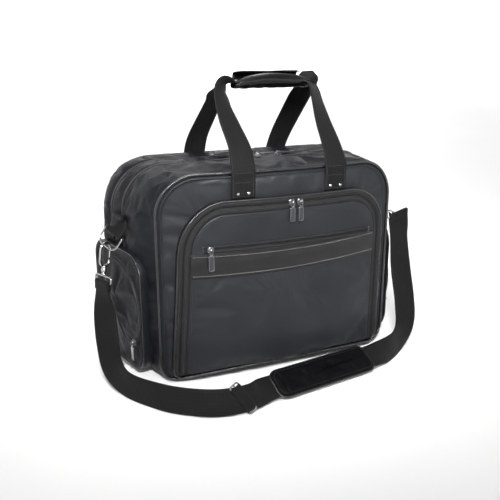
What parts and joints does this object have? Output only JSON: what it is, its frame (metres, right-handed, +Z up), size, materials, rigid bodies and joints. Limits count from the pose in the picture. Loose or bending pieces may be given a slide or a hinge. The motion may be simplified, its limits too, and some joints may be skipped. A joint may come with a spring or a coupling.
{
  "type": "flight bag",
  "caption": "Soft rectangular flight bag with webbing carry handle, fold-down organiser front, zipped compartments, side pockets and a padded shoulder strap.",
  "frame": {"origin": "middle of the bag's underside, on the plane that it stands on", "axes": "+X along the bag's width, to the right as seen from the front; -Y is the front, where the organiser is; +Z up"},
  "size_m": [0.5432, 0.3238, 0.4567],
  "materials": {
    "body_nylon": "charcoal nylon twill, satin",
    "gusset_nylon": "charcoal nylon twill, satin, softer",
    "piping": "covered piping, satin",
    "lining": "plain lining cloth, matt",
    "base_board": "stiff board, matt",
    "zip_tape": "woven tape with nylon coil, matt",
    "webbing": "ribbed webbing, matt",
    "trim_band": "coated trim, semi-gloss",
    "grip_leather": "padded grip cover, gloss",
    "gunmetal": "dark nickel plate, polished",
    "nickel": "nickel plate, polished",
    "plastic": "moulded buckle plastic, satin",
    "pad_fabric": "padded cover, satin"
  },
  "bodies": {
    "bag": {"back_leg_left": "webbing", "back_leg_right": "webbing", "back_panel": "body_nylon", "back_piping": "piping", "base_board": "base_board", "bottom_panel": "body_nylon", "divider": "lining", "front_gusset": "gusset_nylon", "front_leg_left": "webbing", "front_leg_right": "webbing", "front_panel": "body_nylon", "front_piping": "piping", "handle_rivets": "nickel", "main_zip": "zip_tape", "middle_gusset": "gusset_nylon", "organiser_gusset": "gusset_nylon", "organiser_zip_outer": "zip_tape", "rear_gusset": "gusset_nylon", "rear_zip": "zip_tape", "ring_tab_left": "webbing", "ring_tab_right": "webbing", "shoulder_strap_left": "webbing", "shoulder_strap_right": "webbing", "side_pocket_left": "gusset_nylon", "side_pocket_right": "gusset_nylon", "side_zip_left": "zip_tape", "side_zip_right": "zip_tape", "strap_adjuster": "plastic"},
    "organiser_flap": {"organiser_panel": "body_nylon", "organiser_zip_inner": "zip_tape", "slash_zip": "zip_tape", "slash_lining": "lining", "trim_band": "trim_band"},
    "main_left_slider": {"main_left_slider": "gunmetal"},
    "main_left_pull": {"main_left_pull": "gunmetal"},
    "main_right_slider": {"main_right_slider": "gunmetal"},
    "main_right_pull": {"main_right_pull": "gunmetal"},
    "rear_slider": {"rear_slider": "gunmetal"},
    "rear_pull": {"rear_pull": "gunmetal"},
    "organiser_left_slider": {"organiser_left_slider": "gunmetal"},
    "organiser_left_pull": {"organiser_left_pull": "gunmetal"},
    "organiser_right_slider": {"organiser_right_slider": "gunmetal"},
    "organiser_right_pull": {"organiser_right_pull": "gunmetal"},
    "slash_slider": {"slash_slider": "gunmetal"},
    "slash_pull": {"slash_pull": "gunmetal"},
    "side_left_slider": {"side_left_slider": "gunmetal"},
    "side_left_pull": {"side_left_pull": "gunmetal"},
    "side_right_slider": {"side_right_slider": "gunmetal"},
    "side_right_pull": {"side_right_pull": "gunmetal"},
    "handle": {"handle_grip": "grip_leather"},
    "grip_flap": {"grip_flap": "grip_leather"},
    "left_ring": {"d_ring_left": "nickel", "snap_hook_left": "nickel", "hook_swivel_left": "nickel"},
    "left_gate": {"hook_gate_left": "nickel"},
    "right_ring": {"d_ring_right": "nickel", "snap_hook_right": "nickel", "hook_swivel_right": "nickel"},
    "right_gate": {"hook_gate_right": "nickel"},
    "shoulder_pad": {"shoulder_pad": "pad_fabric"}
  },
  "joints": [
    {"name": "organiser_fold", "type": "hinge", "parent": "bag", "child": "organiser_flap", "pos_m": [0, -0.114, 0.011], "axis": [1, 0, 0], "range_deg": [0, 42]},
    {"name": "main_left_run", "type": "slide", "parent": "bag", "child": "main_left_slider", "axis": [-1, 0, 0], "range_m": [0, 0.136]},
    {"name": "main_right_run", "type": "slide", "parent": "bag", "child": "main_right_slider", "axis": [1, 0, 0], "range_m": [0, 0.094]},
    {"name": "rear_run", "type": "slide", "parent": "bag", "child": "rear_slider", "axis": [1, 0, 0], "range_m": [-0.074, 0.19]},
    {"name": "organiser_left_run", "type": "hinge", "parent": "organiser_flap", "child": "organiser_left_slider", "pos_m": [0, 0.85338, 0.2715], "axis": [0, 0, 1], "range_deg": [-5.8, 0]},
    {"name": "organiser_right_run", "type": "hinge", "parent": "organiser_flap", "child": "organiser_right_slider", "pos_m": [0, 0.85338, 0.2715], "axis": [0, 0, 1], "range_deg": [0, 5]},
    {"name": "slash_run", "type": "hinge", "parent": "organiser_flap", "child": "slash_slider", "pos_m": [0, 0.85338, 0.211], "axis": [0, 0, 1], "range_deg": [0, 15.4]},
    {"name": "side_left_run", "type": "hinge", "parent": "bag", "child": "side_left_slider", "pos_m": [-0.22487, 0.018, 0.104], "axis": [-0.9781, -0.2079, 0], "range_deg": [0, 88]},
    {"name": "side_right_run", "type": "hinge", "parent": "bag", "child": "side_right_slider", "pos_m": [0.22487, 0.018, 0.104], "axis": [-0.9781, 0.2079, 0], "range_deg": [0, 88]},
    {"name": "main_left_lift", "type": "hinge", "parent": "main_left_slider", "child": "main_left_pull", "pos_m": [0.004, 0.012, 0.3272], "axis": [0, -1, 0], "range_deg": [0, 110]},
    {"name": "main_right_lift", "type": "hinge", "parent": "main_right_slider", "child": "main_right_pull", "pos_m": [0.04, 0.012, 0.3272], "axis": [0, -1, 0], "range_deg": [0, 110]},
    {"name": "rear_lift", "type": "hinge", "parent": "rear_slider", "child": "rear_pull", "pos_m": [-0.062, 0.048, 0.3272], "axis": [0, -1, 0], "range_deg": [0, 110]},
    {"name": "organiser_left_lift", "type": "hinge", "parent": "organiser_left_slider", "child": "organiser_left_pull", "pos_m": [0.00302, -0.1162, 0.2715], "axis": [-1, -0.0031, 0], "range_deg": [0, 110]},
    {"name": "organiser_right_lift", "type": "hinge", "parent": "organiser_right_slider", "child": "organiser_right_pull", "pos_m": [0.01709, -0.11605, 0.2715], "axis": [-0.9998, -0.0176, 0], "range_deg": [0, 110]},
    {"name": "slash_lift", "type": "hinge", "parent": "slash_slider", "child": "slash_pull", "pos_m": [-0.12532, -0.11069, 0.211], "axis": [-0.9917, 0.1289, 0], "range_deg": [0, 110]},
    {"name": "side_left_lift", "type": "hinge", "parent": "side_left_slider", "child": "side_left_pull", "pos_m": [-0.23251, -0.04324, 0.05844], "axis": [-0.2079, 0.9781, 0], "range_deg": [0, 110]},
    {"name": "side_right_lift", "type": "hinge", "parent": "side_right_slider", "child": "side_right_pull", "pos_m": [0.23251, -0.04324, 0.05844], "axis": [-0.2079, -0.9781, 0], "range_deg": [0, 110]},
    {"name": "handle_drop", "type": "slide", "parent": "bag", "child": "handle", "axis": [0, 0, -1], "range_m": [0, 0.06], "deforming": ["front_leg_left", "front_leg_right", "back_leg_left", "back_leg_right"]},
    {"name": "grip_flap_open", "type": "hinge", "parent": "handle", "child": "grip_flap", "pos_m": [0.015, 0.0096, 0.44], "axis": [-1, 0, 0], "range_deg": [0, 100]},
    {"name": "left_ring_swing", "type": "hinge", "parent": "bag", "child": "left_ring", "pos_m": [-0.238, 0.012, 0.22], "axis": [0.362, -0.879, -0.3103], "range_deg": [-25, 1], "deforming": ["shoulder_strap_left"]},
    {"name": "right_ring_swing", "type": "hinge", "parent": "bag", "child": "right_ring", "pos_m": [0.241, 0.014, 0.221], "axis": [-0.362, -0.879, -0.3103], "range_deg": [-1, 25], "deforming": ["shoulder_strap_right"]},
    {"name": "left_gate_open", "type": "hinge", "parent": "left_ring", "child": "left_gate", "pos_m": [-0.24658, 0.01538, 0.18046], "axis": [0.4398, -0.8979, 0.0194], "range_deg": [0, 22], "stiffness_Nm_per_rad": 0.02, "springref_deg": -17.19},
    {"name": "right_gate_open", "type": "hinge", "parent": "right_ring", "child": "right_gate", "pos_m": [0.24592, -0.02078, 0.21496], "axis": [-0.5713, 0.2311, 0.7875], "range_deg": [0, 22], "stiffness_Nm_per_rad": 0.02, "springref_deg": -17.19},
    {"name": "pad_shift", "type": "slide", "parent": "bag", "child": "shoulder_pad", "axis": [0.9899, 0.1414, 0], "range_m": [-0.012, 0.012], "deforming": ["shoulder_strap_left", "shoulder_strap_right"]}
  ]
}
